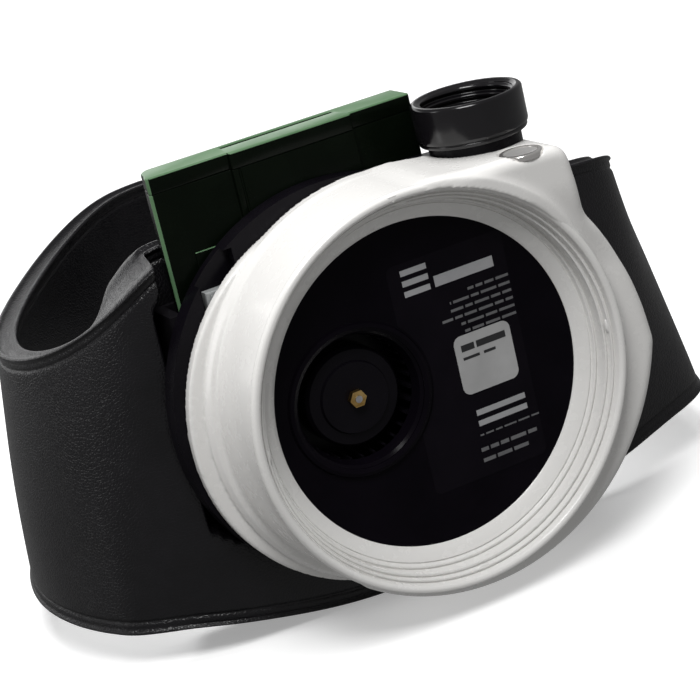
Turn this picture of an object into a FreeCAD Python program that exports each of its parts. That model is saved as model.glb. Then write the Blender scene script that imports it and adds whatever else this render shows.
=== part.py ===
import FreeCAD, Part
import math
import os
from FreeCAD import Vector

os.makedirs("parts", exist_ok=True)

# A belt-worn blower unit: an open round filter cup in front of a centrifugal fan, a threaded hose
# outlet on top, a battery that slides up out of a dock behind it, and a foam waist belt.
# Millimetres. The blower is drawn with the cup's axis along Y: x to the right, y from the cup's
# mouth towards the wearer, z up. Every piece is then moved so that the origin is the waist's centre.

WAIST = Vector(17, 172, -15)            # centre of the waist opening
GAP = 0.3                               # room between soft or sliding pieces
WALL = 2.8                              # moulded housing wall

# filter cup
LIP_R = 83.5                            # outer radius of the rounded lip
CUP_R = 84.0                            # outer radius where the wall meets the flange
PLATE_R = 67.5                          # visible radius of the inlet plate
PLATE_Y = 17.0                          # depth of the inlet plate's face
PLATE_T = 3.0
SEAT_R = 71.6
CAVITY_R = 77.5                         # inside of the housing behind the plate
CAVITY_Y = 23.5
SPLIT_Y = 45.3                          # front and rear housings meet here
CUP_BORE_R, CUP_BORE_Y = 76.0, (5.8, 11.4)      # straight wall that a filter cartridge fits
DETENT_R, DETENT_AT = 1.0, (77.9, 4.5)
NOTICE_X, NOTICE_Z = (-7.5, 45.5), (-47.0, 51.0)
SERIAL_X, SERIAL_Z = (14.5, 40.6), (-11.2, 13.8)

# scroll casing bulge round the lower right of the cup
SCROLL_FRONT = 7.5
SCROLL_START, SCROLL_END = 235.0, 352.0
SCROLL_R0, SCROLL_R1 = 84.0, 102.5
FLANK = ((99.6, 2), (96.2, 16), (90.6, 30), (84.6, 40.5), (78.4, 49))
BOSS_RIGHT, BOSS_TOP, BOSS_ROUND = 74.4, 80.0, 7.0
BOSS_FRONT = 0.0
BOSS_LOW_Z = 48.0
ROOM_R = 84.8                           # hollows outside the cup's wall start here

# offset flange and volute disc at the back of the white housing
FLANGE_AT, FLANGE_R, FLANGE_Y = (-2.9, -1.7), 85.2, (34.5, 38.5, 41.0)
VOLUTE_AT, VOLUTE_R = (-14.0, -2.6), 80.5

# rear housing
REAR_AT, REAR_R = (-14.5, 2.2), 83.5
REAR_Y, REAR_WALL_Y, REAR_BACK_Y = 45.4, 52.5, 54.5
REAR_INSET = 0.6                        # the rear housing is this much smaller than the front
SCREW_AT = ((-35, 66), (-42, -63), (27, -84), (76, -53), (92, 10))
SCREW_R, SCREW_HEAD_R, POST_R = 1.5, 3.0, 4.0
HEAD_Y = REAR_BACK_Y - 1.9              # under the screw heads

# fan
FAN_AT = (-30.0, 3.4)
INLET_R, INLET_RIM_R, BELL_Y = 28.0, 32.0, 22.6
HUB_R, HUB_STEP_R, NUT_R = 20.6, 14.5, 3.7
BLADE_COUNT = 30
BLADE_IN_R, BLADE_OUT_R = 25.0, 40.0
FAN_FRONT, FAN_BACK = 23.6, 37.0
MOTOR_R = 16.5
MOTOR_Y = (28.2, 44.6)
SHAFT_R = 1.5
SCROLL_IN_R, SCROLL_GROWTH = 42.0, 0.0007
SCROLL_WALL = 1.4
TONGUE_DEG = 60.0
DUCT_X, DUCT_TOP = (36.0, 67.4), 74.0

# hose outlet
OUTLET_AT = (54.6, 40.0)
NECK_R, NECK_BORE_R = 19.3, 15.0
NECK_Z = (76.2, 86.8)
COLLAR_R, THREAD_R = 23.2, 18.4
COLLAR_Z = (84.8, 102.7)
THREAD_FLOOR_Z = 90.4
SEAL_R, SEAL_Z = 17.6, (88.8, 90.35)

# power button
BUTTON_AT = (57.6, 8.8)
BEZEL_R, BUTTON_R = 9.0, 7.0
BEZEL_Z = (78.2, 80.6)
CAP_Z = (75.2, 80.2)
SWITCH_Z = 68.6

# battery and dock
BATTERY_X, BATTERY_Y, BATTERY_Z = (-80.3, 38.3), (57.6, 74.0), (-18.0, 106.0)
PROUD_X, PROUD_Y = (-45.0, 10.0), 55.1
LID_Z = 99.0
CASE_T = 2.0
CELL_R, CELL_H = 6.6, 48.0
CONTACT_X, CONTACT_Y = (-40, -24, -8), (61.6, 69.6)
CELLS_ACROSS, CELLS_HIGH = 8, 2
DOCK_X, DOCK_Y, DOCK_Z = (-85.6, 41.6), (54.8, 77.2), (-46.0, 50.0)
DOCK_CORNER = 9.0                       # the lower corners are cut off, behind the round housing
DOCK_BACK_Y = 74.3
PIN_Y = (63.6, 67.6)
RIVET_AT = ((-62, -26), (20, -26), (-62, -39), (20, -39))
RIVET_R, RIVET_INNER_R, RIVET_HEAD_R, RIVET_Y = 2.4, 4.0, 6.0, 87.9

# battery latch
NOTCH_X, NOTCH_Z, NOTCH_Y = (-74.0, -57.0), (44.8, 72.0), 50.6
SLOT_X, SLOT_Z = (-70.4, -61.6), (46.6, 55.4)
TAB_X, TAB_Z, TAB_Y = (-72.0, -63.0), (48.4, 57.6), (46.0, 50.3)
SPRING_AT, SPRING_Z = (-68.0, 52.6), (46.9, 50.8)

# belt: x, y of the outer face at z = 0, then lower and upper edge heights
PAD_T = 10.0
FLARE_LEFT, FLARE_RIGHT = math.tan(math.radians(6.8)), math.tan(math.radians(12.2))
FLARE_FROM_Y, FLARE_FULL_Y = 56.0, 86.0
RECESS = 21.5                           # the pad's outer face steps back this far behind the dock
BOLSTER_TOP, BOLSTER_GAP = -50.0, 1.0   # a foam block fills the step below the dock
OUTER_STEP = ((-96.5, -88.0), (44.0, 52.5))
INNER_STEP = ((-110.0, -94.0), (50.0, 66.0))
BELT = (
    (-5, 289.3, -70, 55), (-35, 284, -71, 54), (-69, 264, -73, 47), (-101, 228, -74, 40),
    (-128, 183, -75, 35), (-138.5, 140, -77, 34), (-130, 98, -79, 40), (-109, 68, -80.5, 55),
    (-94, 59, -83, 66), (-78, 56.6, -86.5, 73), (-40, 56.3, -94, 66), (17, 56.3, -95, 60),
    (70, 56.3, -87, 56), (108, 57, -78, 53.5), (132, 66, -73, 49), (149.5, 92, -70.5, 37),
    (158, 135, -70, 28), (152, 183, -70, 25), (130, 228, -70, 31), (102, 264, -70, 43),
    (66, 285, -70, 53),
)

# far-side closure
STRAP_Y = (284.2, 286.0)
STRAP_Z = (-29.0, 9.0)
STRAP_ENTRY = ((284.1, 286.1), (-29.3, 9.3))
SOCKET_X, PLUG_X = (29.0, 56.0), (4.5, 28.4)
BUCKLE_Y, BUCKLE_Z = (279.5, 290.7), (-33.0, 13.0)


def block(x, y, z):
    size = [b - a for a, b in (x, y, z)]
    return Part.makeBox(*size, Vector(x[0], y[0], z[0]))


def disc(at, radius, front, back):
    """A cylinder about a line along Y."""
    return Part.makeCylinder(radius, back - front, Vector(at[0], front, at[1]), Vector(0, 1, 0))


def upright(at, radius, low, high):
    """A cylinder about a line along Z."""
    return Part.makeCylinder(radius, high - low, Vector(at[0], at[1], low))


def turned(profile, at=(0, 0)):
    """A solid turned about a line along Y from (radius, y) points."""
    points = [Vector(at[0] + r, y, at[1]) for r, y in profile]
    face = Part.Face(Part.makePolygon(points + points[:1]))
    return face.revolve(Vector(at[0], 0, at[1]), Vector(0, 1, 0), 360)


def prism(wire, front, back):
    """A wire drawn at y = 0, made solid from front to back."""
    moved = wire.copy()
    moved.translate(Vector(0, front, 0))
    return Part.Face(moved).extrude(Vector(0, back - front, 0))


def joined(first, *others):
    return first.multiFuse(list(others)).removeSplitter()


def polar(at, radius, degrees):
    a = math.radians(degrees)
    return Vector(at[0] + radius * math.cos(a), 0, at[1] + radius * math.sin(a))


def spline(points, knots=None):
    curve = Part.BSplineCurve()
    if knots:
        curve.interpolate(Points=points, Parameters=knots)
    else:
        curve.interpolate(points)
    return curve.toShape()


def casing_wire(inset=0.0):
    """Scroll bulge and boss as one outline. Its left part lies inside the cup's wall."""
    steps = 9
    bulge = []
    for i in range(steps + 1):
        share = i / steps
        radius = SCROLL_R0 + (SCROLL_R1 - SCROLL_R0) * share - inset
        bulge.append(polar((0, 0), radius, SCROLL_START + (SCROLL_END - SCROLL_START) * share))
    bulge += [Vector(x - inset, 0, z) for x, z in FLANK]
    right, top = BOSS_RIGHT - inset, BOSS_TOP - inset
    low = Vector(right, 0, top - BOSS_ROUND)
    high = Vector(right - BOSS_ROUND, 0, top)
    mid = polar((right - BOSS_ROUND, top - BOSS_ROUND), BOSS_ROUND, 45)
    left = Vector(10, 0, 82.6 - inset)
    inner = Vector(-30, 0, 20)
    edges = [spline(bulge), Part.makeLine(bulge[-1], low), Part.Arc(low, mid, high).toShape()]
    edges += [Part.makeLine(high, left), Part.makeLine(left, inner), Part.makeLine(inner, bulge[0])]
    return Part.Wire(edges)


def rounded(shape, radius, wanted):
    """Rounds the edges that wanted(edge) picks."""
    return shape.makeFillet(radius, [e for e in shape.Edges if wanted(e)])


def on_plane_y(y):
    def test(edge):
        box = edge.BoundBox
        return abs(box.YMin - y) < 1e-4 and abs(box.YMax - y) < 1e-4
    return test


def cup_section():
    outer = [(80.8, 0), (82.4, 0), (83.3, 0.8), (LIP_R, 2.2), (83.3, 3.6), (82.7, 4.3), (83.0, 5.2)]
    outer += [(CUP_R, 36), (CUP_R, SPLIT_Y), (CAVITY_R, SPLIT_Y), (CAVITY_R, CAVITY_Y)]
    seat = [(SEAT_R, CAVITY_Y), (SEAT_R, PLATE_Y), (PLATE_R, PLATE_Y), (PLATE_R, PLATE_Y - 0.7)]
    steps = [(74.2, 12.6), (74.4, 11.6), (CUP_BORE_R, CUP_BORE_Y[1]), (CUP_BORE_R, CUP_BORE_Y[0])]
    return outer + seat + steps + [(77.6, 5.6), (77.8, 3.4), (79.2, 3.2), (79.5, 1.0)]


def boss_solid():
    wire = casing_wire()
    body = prism(wire, BOSS_FRONT, SPLIT_Y)
    keep = block((20, 120), (BOSS_FRONT, SPLIT_Y), (BOSS_LOW_Z, 120))
    body = body.common(keep)
    front_low = lambda e: on_plane_y(BOSS_FRONT)(e) and abs(e.BoundBox.ZMax - BOSS_LOW_Z) < 1e-3
    return body.makeChamfer(6.0, [e for e in body.Edges if front_low(e)])


def front_housing():
    bulge = prism(casing_wire(), SCROLL_FRONT, SPLIT_Y)
    cone = Part.makeCone(83.0, FLANGE_R, FLANGE_Y[1] - FLANGE_Y[0],
                         Vector(FLANGE_AT[0], FLANGE_Y[0], FLANGE_AT[1]), Vector(0, 1, 0))
    flange = disc(FLANGE_AT, FLANGE_R, FLANGE_Y[1], FLANGE_Y[2])
    volute = disc(VOLUTE_AT, VOLUTE_R, FLANGE_Y[2], SPLIT_Y)
    cup = turned(cup_section())
    outer = bulge.multiFuse([boss_solid(), cone, flange, volute, disc((0, 0), 82.0, 10, SPLIT_Y)])
    mouth = disc((0, 0), 80.5, -5, CAVITY_Y)
    cavity = disc((0, 0), CAVITY_R, CAVITY_Y, SPLIT_Y + 1)
    side = prism(casing_wire(WALL), CAVITY_Y, SPLIT_Y + 1)
    volute_room = disc(VOLUTE_AT, VOLUTE_R - WALL, 42.6, SPLIT_Y + 1)
    wall = disc((0, 0), ROOM_R, -5, 30)
    boss_room = prism(casing_wire(WALL), BOSS_FRONT + WALL, CAVITY_Y + 1).cut(wall)
    boss_room = boss_room.common(block((20, 120), (0, 30), (BOSS_LOW_Z + WALL, 120)))
    bulge_room = prism(casing_wire(WALL), SCROLL_FRONT + WALL, CAVITY_Y + 1).cut(wall)
    shell = outer.cut(mouth).fuse(cup)
    for room in (cavity, side, volute_room, boss_room, bulge_room):
        shell = shell.cut(room)
    posts = [disc(at, POST_R, CAVITY_Y + 2, SPLIT_Y) for at in SCREW_AT]
    detents = []
    for a in (0, 90, 180, 270):
        detents.append(Part.makeSphere(DETENT_R, polar((0, 0), DETENT_AT[0], a) + Vector(0, DETENT_AT[1], 0)))
    shell = shell.multiFuse(posts + detents)
    pilots = [disc(at, SCREW_R + 0.05, CAVITY_Y + 4, SPLIT_Y + 1) for at in SCREW_AT]
    neck_hole = upright(OUTLET_AT, NECK_R + 0.1, 70, 90)
    bezel_seat = upright(BUTTON_AT, BEZEL_R + 0.05, BEZEL_Z[0], 90)
    button_hole = upright(BUTTON_AT, BUTTON_R + 0.6, 70, 90)
    return shell.cut(Part.makeCompound(pilots)).cut(neck_hole).cut(bezel_seat).cut(button_hole)


def rear_housing():
    depth = (REAR_Y, REAR_BACK_Y)
    hollow = (REAR_Y - 1, REAR_WALL_Y)
    outer = disc(REAR_AT, REAR_R, *depth)
    outer = outer.multiFuse([prism(casing_wire(REAR_INSET), *depth), disc((0, 0), 83.0, *depth)])
    room = disc(VOLUTE_AT, VOLUTE_R - WALL, *hollow)
    behind_rim = disc(REAR_AT, REAR_R - WALL, REAR_Y + WALL, REAR_WALL_Y)
    side = prism(casing_wire(WALL + REAR_INSET), *hollow)
    room = room.multiFuse([behind_rim, side, disc((0, 0), 80.0, *hollow)])
    recess = block((NOTCH_X[0] - WALL, NOTCH_X[1] + WALL), depth, (NOTCH_Z[0] - WALL, NOTCH_Z[1]))
    shell = outer.cut(room).fuse(recess.common(outer))
    posts = [disc(at, POST_R, REAR_Y, REAR_BACK_Y) for at in SCREW_AT]
    shell = shell.multiFuse(posts + [disc(FAN_AT, MOTOR_R + 5, REAR_Y, REAR_BACK_Y)])
    shell = shell.cut(block(NOTCH_X, (REAR_Y - 1, NOTCH_Y), NOTCH_Z))
    slot = block(SLOT_X, (NOTCH_Y - 1, REAR_BACK_Y + 1), SLOT_Z)
    neck_hole = upright(OUTLET_AT, NECK_R + 0.1, 70, 90)
    holes = [disc(at, SCREW_R + 0.2, REAR_Y - 1, REAR_BACK_Y + 1) for at in SCREW_AT]
    heads = [disc(at, SCREW_HEAD_R + 0.2, HEAD_Y, REAR_BACK_Y + 1) for at in SCREW_AT]
    return shell.cut(Part.makeCompound([slot, neck_hole] + holes)).cut(Part.makeCompound(heads))


def housing_screws():
    pieces = []
    for at in SCREW_AT:
        shank = disc(at, SCREW_R, CAVITY_Y + 5, HEAD_Y)
        head = disc(at, SCREW_HEAD_R, HEAD_Y, REAR_BACK_Y - 0.2)
        cross = block((at[0] - 1.6, at[0] + 1.6), (HEAD_Y + 0.7, REAR_BACK_Y), (at[1] - 0.4, at[1] + 0.4))
        pieces.append(shank.fuse(head).cut(cross))
    return Part.makeCompound(pieces)


def inlet_plate():
    face = PLATE_Y + 0.05
    plate = disc((0, 0), SEAT_R - 0.2, face, face + PLATE_T)
    crown = [(INLET_R, face - 0.9), (INLET_R + 1.6, face - 1.8), (INLET_RIM_R - 0.9, face - 1.3)]
    foot = [(INLET_RIM_R, face + 0.5), (INLET_RIM_R, face + PLATE_T), (INLET_R, face + PLATE_T)]
    rim = turned(crown + foot, FAN_AT)
    throat = [(INLET_R, face), (INLET_R + 2, face), (INLET_R - 1.0, BELL_Y), (INLET_R - 2.6, BELL_Y)]
    bell = turned(throat + [(INLET_R - 1.2, face + 1)], FAN_AT)
    plate = plate.cut(disc(FAN_AT, INLET_R + 0.5, 10, 30))
    return joined(plate, rim, bell)


def plate_seal():
    return disc((0, 0), SEAT_R - 0.4, 20.2, 21.7).cut(disc((0, 0), 66.4, 20, 22))


def label(x, z, thickness, round_r):
    sheet = block(x, (PLATE_Y + 0.05 - thickness, PLATE_Y + 0.05), z)
    return rounded(sheet, round_r, lambda e: e.BoundBox.YLength > thickness * 0.9)


def notice_label():
    """A thin clear sheet with openings for the inlet and for the serial label."""
    window = label((SERIAL_X[0] - 0.1, SERIAL_X[1] + 0.1), (SERIAL_Z[0] - 0.1, SERIAL_Z[1] + 0.1), 1.0, 3.6)
    inlet = disc(FAN_AT, INLET_RIM_R + 0.4, 0, 40)
    return label(NOTICE_X, NOTICE_Z, 0.15, 3.0).cut(inlet).cut(window)


def serial_label():
    return label(SERIAL_X, SERIAL_Z, 0.35, 3.5)


def scroll_wire(extra=0.0):
    """Spiral round the fan that opens into a straight duct up to the outlet."""
    count = 25
    points = []
    for i in range(count + 1):
        turn = 325.0 * i / count
        radius = SCROLL_IN_R * math.exp(SCROLL_GROWTH * turn) + extra
        points.append(polar(FAN_AT, radius, TONGUE_DEG + turn))
    right = Vector(DUCT_X[1] + extra, 0, 50)
    top_right = Vector(DUCT_X[1] + extra, 0, DUCT_TOP + extra)
    top_left = Vector(DUCT_X[0] - extra, 0, DUCT_TOP + extra)
    edges = [spline(points), Part.makeLine(points[-1], right), Part.makeLine(right, top_right)]
    edges += [Part.makeLine(top_right, top_left), Part.makeLine(top_left, points[0])]
    return Part.Wire(edges)


def fan_scroll():
    outer = prism(scroll_wire(SCROLL_WALL), CAVITY_Y + 0.2, SPLIT_Y - 0.3)
    inner = prism(scroll_wire(), CAVITY_Y - 1, SPLIT_Y - 2.0)
    rest = outer.cut(inner).cut(upright(OUTLET_AT, NECK_BORE_R, DUCT_TOP - 0.1, 90))
    return rest.cut(disc(FAN_AT, MOTOR_R + 5.0, 30, 60))


def impeller():
    back = disc(FAN_AT, BLADE_OUT_R + 0.8, FAN_BACK, FAN_BACK + 1.4).cut(disc(FAN_AT, HUB_R - 1, 30, 60))
    nose = [(SHAFT_R, 21.6), (HUB_STEP_R, 21.6), (HUB_STEP_R + 0.6, 22.8), (HUB_R - 1.2, 23.4), (HUB_R, 25.2)]
    skirt = [(HUB_R, FAN_BACK + 1.4), (HUB_R - 2.2, FAN_BACK + 1.4), (HUB_R - 2.2, 26.2), (SHAFT_R, 26.2)]
    hub = turned(nose + skirt, FAN_AT)
    blades = []
    for i in range(BLADE_COUNT):
        a = 360.0 * i / BLADE_COUNT
        start, end = polar(FAN_AT, BLADE_IN_R, a), polar(FAN_AT, BLADE_OUT_R, a + 16)
        middle = polar(FAN_AT, (BLADE_IN_R + BLADE_OUT_R) / 2 + 0.6, a + 5.4)
        curve = Part.Arc(start, middle, end).toShape()
        start2, end2 = polar(FAN_AT, BLADE_IN_R, a + 2.4), polar(FAN_AT, BLADE_OUT_R, a + 17.6)
        middle2 = polar(FAN_AT, (BLADE_IN_R + BLADE_OUT_R) / 2 + 0.6, a + 7.4)
        curve2 = Part.Arc(end2, middle2, start2).toShape()
        wire = Part.Wire([curve, Part.makeLine(end, end2), curve2, Part.makeLine(start2, start)])
        blades.append(prism(wire, FAN_FRONT, FAN_BACK + 0.5))
    return joined(back, hub, *blades)


def hub_nut():
    corners = [polar(FAN_AT, NUT_R, 60 * i) for i in range(7)]
    nut = prism(Part.makePolygon(corners), 18.9, 21.55)
    return nut.cut(disc(FAN_AT, SHAFT_R, 18, 22))


def motor_shaft():
    return disc(FAN_AT, SHAFT_R - 0.01, 18.4, MOTOR_Y[1] - 1)


def motor_body():
    can = disc(FAN_AT, MOTOR_R, *MOTOR_Y)
    room = disc(FAN_AT, 5.1, MOTOR_Y[0] - 1, MOTOR_Y[1] - 0.8)
    return can.cut(room)


def motor_bearings():
    pieces = [disc(FAN_AT, 5.0, y, y + 4).cut(disc(FAN_AT, SHAFT_R + 0.03, 20, 60)) for y in (28.6, 38.8)]
    return Part.makeCompound(pieces)


def motor_bracket():
    plate = disc(FAN_AT, MOTOR_R + 4.6, MOTOR_Y[1] + 0.05, REAR_Y - 0.05)
    return plate.cut(disc(FAN_AT, 6.0, 40, 50))


def control_board():
    return block((62, 80), (33.0, 34.6), (-38, 30))


def board_parts():
    spots = ((64, 72, 12, 24), (66, 76, -10, 4), (64, 70, -26, -18), (73, 78, -34, -20))
    return Part.makeCompound([block((a, b), (34.65, 39.5), (c, d)) for a, b, c, d in spots])


def alarm_buzzer():
    return disc((75, 38), 6.0, 35.0, 43.0)


def outlet_neck():
    return upright(OUTLET_AT, NECK_R, *NECK_Z).cut(upright(OUTLET_AT, NECK_BORE_R, 0, 200))


def hose_collar():
    body = upright(OUTLET_AT, COLLAR_R, *COLLAR_Z)
    body = body.makeChamfer(0.6, [e for e in body.Edges if e.BoundBox.ZLength < 1e-6])
    seat = upright(OUTLET_AT, NECK_R + 0.05, COLLAR_Z[0] - 1, NECK_Z[1] + 0.05)
    thread = upright(OUTLET_AT, THREAD_R, THREAD_FLOOR_Z, COLLAR_Z[1] + 1)
    thread = thread.fuse(upright(OUTLET_AT, SEAL_R, SEAL_Z[0], THREAD_FLOOR_Z))
    cone = Part.makeCone(THREAD_R, THREAD_R + 2.0, 2.0, Vector(*OUTLET_AT, COLLAR_Z[1] - 1.2))
    return body.cut(seat).cut(thread).cut(cone).cut(upright(OUTLET_AT, NECK_BORE_R, 0, 200))


def outlet_seal():
    ring = upright(OUTLET_AT, SEAL_R - 0.05, SEAL_Z[0] + 0.02, SEAL_Z[1])
    return ring.cut(upright(OUTLET_AT, NECK_BORE_R - 0.6, 0, 200))


def button_bezel():
    body = upright(BUTTON_AT, BEZEL_R, *BEZEL_Z)
    body = rounded(body, 0.8, lambda e: e.BoundBox.ZMin > BEZEL_Z[1] - 1e-4)
    return body.cut(upright(BUTTON_AT, BUTTON_R + 0.1, 70, 90))


def power_button():
    cap = upright(BUTTON_AT, BUTTON_R, *CAP_Z)
    dish = Part.makeSphere(24.0, Vector(*BUTTON_AT, CAP_Z[1] - 0.8 + 24.0))
    stem = upright(BUTTON_AT, 2.0, SWITCH_Z + 3.2, CAP_Z[0] + 0.5)
    return joined(cap.cut(dish), stem)


def coil_spring(radius, wire_r, pitch, at, z):
    """A round wire coiled about a line along Z, clear of what lies above and below it."""
    low, high = z[0] + wire_r + 0.05, z[1] - wire_r - 0.05
    path = Part.Wire(Part.makeHelix(pitch, high - low, radius).Edges)
    section = Part.Wire(Part.makeCircle(wire_r, Vector(radius, 0, 0), Vector(0, 1, 0.08)))
    return path.makePipeShell([section], True, True).translated(Vector(*at, low))


def button_spring():
    return coil_spring(3.2, 0.28, 1.18, BUTTON_AT, (SWITCH_Z + 1.6, CAP_Z[0]))


def button_switch():
    x, y = BUTTON_AT
    return block((x - 4, x + 4), (y - 4, y + 4), (SWITCH_Z - 2, SWITCH_Z + 1.6))


def battery_case():
    box = block(BATTERY_X, BATTERY_Y, (BATTERY_Z[0], LID_Z))
    box = rounded(box, 2.0, lambda e: e.BoundBox.ZLength > 50)
    proud = block(PROUD_X, (PROUD_Y, BATTERY_Y[0] + 1), (BATTERY_Z[0], LID_Z))
    key = block((-68.0, -54.0), (BATTERY_Y[0] - 0.8, BATTERY_Y[0] + 1), (56.0, 71.5))
    room_x = (BATTERY_X[0] + CASE_T, BATTERY_X[1] - CASE_T)
    room_y = (BATTERY_Y[0] + CASE_T - 0.4, BATTERY_Y[1] - CASE_T + 0.4)
    room = block(room_x, room_y, (BATTERY_Z[0] + CASE_T, LID_Z + 1))
    slots = [block((x, x + 6), CONTACT_Y, (BATTERY_Z[0] - 1, BATTERY_Z[0] + 3)) for x in CONTACT_X]
    return joined(box, proud, key).cut(room).cut(Part.makeCompound(slots))


def battery_lid():
    lid = block(BATTERY_X, BATTERY_Y, (LID_Z + 0.05, BATTERY_Z[1]))
    lid = rounded(lid, 2.0, lambda e: e.BoundBox.ZLength > 5)
    proud = block(PROUD_X, (PROUD_Y, BATTERY_Y[0] + 1), (LID_Z + 0.05, BATTERY_Z[1]))
    lid = joined(lid, proud)
    grip_y = (BATTERY_Y[1] - 5, BATTERY_Y[1] - 2.6)
    grip = block((PROUD_X[0] + 3, PROUD_X[1] - 3), grip_y, (BATTERY_Z[1] - 3.5, BATTERY_Z[1] + 1))
    return lid.cut(grip)


def battery_cells():
    pitch = (BATTERY_X[1] - BATTERY_X[0] - 2 * CASE_T) / CELLS_ACROSS
    y = (BATTERY_Y[0] + BATTERY_Y[1]) / 2
    cells = []
    for row in range(CELLS_HIGH):
        low = BATTERY_Z[0] + CASE_T + 4.2 + row * (CELL_H + 1.5)
        for i in range(CELLS_ACROSS):
            x = BATTERY_X[0] + CASE_T + pitch * (i + 0.5)
            cells.append(upright((x, y), CELL_R, low, low + CELL_H))
    return Part.makeCompound(cells)


def battery_board():
    return block((-70, 28), (63, 64.6), (94.0, 98.6))


def battery_contacts():
    y = (CONTACT_Y[0] + 0.4, CONTACT_Y[1] - 0.4)
    z = (BATTERY_Z[0] + 0.4, BATTERY_Z[0] + 2.8)
    return Part.makeCompound([block((x + 0.4, x + 5.6), y, z) for x in CONTACT_X])


def dock_tray(inset, y, top):
    """The dock's outline, set in from its outer faces and cut across its two lower corners."""
    x0, x1, z0 = DOCK_X[0] + inset, DOCK_X[1] - inset, DOCK_Z[0] + inset
    cut = DOCK_CORNER - (2 - math.sqrt(2)) * inset
    corners = ((x0, top), (x0, z0 + cut), (x0 + cut, z0), (x1 - cut, z0), (x1, z0 + cut), (x1, top))
    return prism(Part.makePolygon([Vector(x, 0, z) for x, z in corners + corners[:1]]), *y)


def battery_dock():
    body = dock_tray(0, DOCK_Y, DOCK_Z[1])
    inside_y = (DOCK_Y[0] - 1, DOCK_BACK_Y)
    floor_z = BATTERY_Z[0] - GAP
    channel = block((BATTERY_X[0] - GAP, BATTERY_X[1] + GAP), inside_y, (floor_z, DOCK_Z[1] + 1))
    low = dock_tray(WALL, inside_y, floor_z - WALL)
    holes = [disc(at, RIVET_R + 0.05, 50, 90) for at in RIVET_AT]
    pins = [block((x + 2, x + 4), PIN_Y, (BATTERY_Z[0] - 4, BATTERY_Z[0])) for x in CONTACT_X]
    return body.cut(channel).cut(low).cut(Part.makeCompound(holes + pins))


def dock_contacts():
    y = (PIN_Y[0] + 0.1, PIN_Y[1] - 0.1)
    z = (BATTERY_Z[0] - 3.6, BATTERY_Z[0] - 0.35)
    return Part.makeCompound([block((x + 2.1, x + 3.9), y, z) for x in CONTACT_X])


def belt_rivets():
    pieces = []
    for at in RIVET_AT:
        shank = disc(at, RIVET_R, DOCK_BACK_Y - 1.6, RIVET_Y)
        inner = disc(at, RIVET_INNER_R, DOCK_BACK_Y - 1.6, DOCK_BACK_Y - 0.02)
        outer = rounded(disc(at, RIVET_HEAD_R, RIVET_Y, RIVET_Y + 1.5), 0.7, on_plane_y(RIVET_Y + 1.5))
        pieces.append(joined(shank, inner, outer))
    return Part.makeCompound(pieces)


def battery_latch():
    tab = rounded(block(TAB_X, TAB_Y, TAB_Z), 0.8, on_plane_y(TAB_Y[0]))
    rib_y, rib_z = (TAB_Y[0] - 0.6, TAB_Y[0] + 0.5), (TAB_Z[0] + 1.4, TAB_Z[1] - 1.4)
    ribs = [block((x, x + 0.8), rib_y, rib_z) for x in (-70, -68, -66)]
    stem = block((-70.1, -66.1), (TAB_Y[1] - 0.5, 57.2), (50.9, 55.1))
    return joined(tab, stem, *ribs)


def latch_spring():
    return coil_spring(1.2, 0.16, 1.2, SPRING_AT, SPRING_Z)


def smooth(value, low, high):
    t = min(max((value - low) / (high - low), 0.0), 1.0)
    return t * t * (3 - 2 * t)


def stepped(x, steps):
    left, right = steps
    return RECESS * smooth(x, *left) * (1 - smooth(x, *right))


def belt_curves():
    """The outer face at z = 0 with the lower edge's height, the upper edge's height, and their last knot."""
    knots = [0.0]
    for a, b in zip(BELT, BELT[1:]):
        knots.append(knots[-1] + math.hypot(b[0] - a[0], b[1] - a[1]) ** 0.75)
    plan, levels = Part.BSplineCurve(), Part.BSplineCurve()
    plan.interpolate(Points=[Vector(x, y, low) for x, y, low, high in BELT], Parameters=knots)
    levels.interpolate(Points=[Vector(x, y, high) for x, y, low, high in BELT], Parameters=knots)
    return plan, levels, knots[-1]


def belt_rails():
    """Four edges of the pad, outer low, outer high, inner high and inner low, and their shared knots."""
    plan, levels, end = belt_curves()
    rails, knots = [[], [], [], []], []
    t = 0.0
    while t <= end:
        knots.append(t)
        base, high = plan.value(t), levels.value(t).z
        along = plan.tangent(t)[0]
        out = Vector(along.y, -along.x, 0).normalize()
        weight = smooth(base.y, FLARE_FROM_Y, FLARE_FULL_Y)
        for rail, z, thick, steps in ((0, base.z, 0, OUTER_STEP), (1, high, 0, OUTER_STEP),
                                      (2, high, PAD_T, INNER_STEP), (3, base.z, PAD_T, INNER_STEP)):
            flare = FLARE_LEFT if base.x < WAIST.x else FLARE_RIGHT
            shift = -z * flare * weight - thick
            point = Vector(base.x, base.y, 0) + out * shift
            back = stepped(point.x, steps) if base.y < 120 else 0.0
            rails[rail].append(Vector(point.x, point.y + back, z))
        near_step = base.y < 75 and (-116 < base.x < -76 or 26 < base.x < 76)
        t += 0.55 if near_step else 2.2
    return rails, knots


def belt_bolster():
    """Foam block between the recessed stretch of the pad and the belt's own face, below the dock."""
    plan, levels, end = belt_curves()
    front, back, low = [], [], []
    t = 0.0
    while t < end:
        base = plan.value(t)
        depth = stepped(base.x, OUTER_STEP)
        if base.y < 75 and depth > 2 * BOLSTER_GAP:
            front.append(Vector(base.x, base.y + 0.2, 0))
            back.append(Vector(base.x, base.y + depth - BOLSTER_GAP, 0))
            low.append(Vector(base.x, 0, base.z + 0.3))
        t += 0.7
    top = [Vector(low[-1].x, 0, BOLSTER_TOP), Vector(low[0].x, 0, BOLSTER_TOP)]
    plan_face = Part.Face(Part.makePolygon(front + back[::-1] + front[:1]))
    block_of_foam = plan_face.extrude(Vector(0, 0, -60)).translated(Vector(0, 0, BOLSTER_TOP))
    return block_of_foam.common(prism(Part.makePolygon(low + top + low[:1]), 50, 100))


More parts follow.
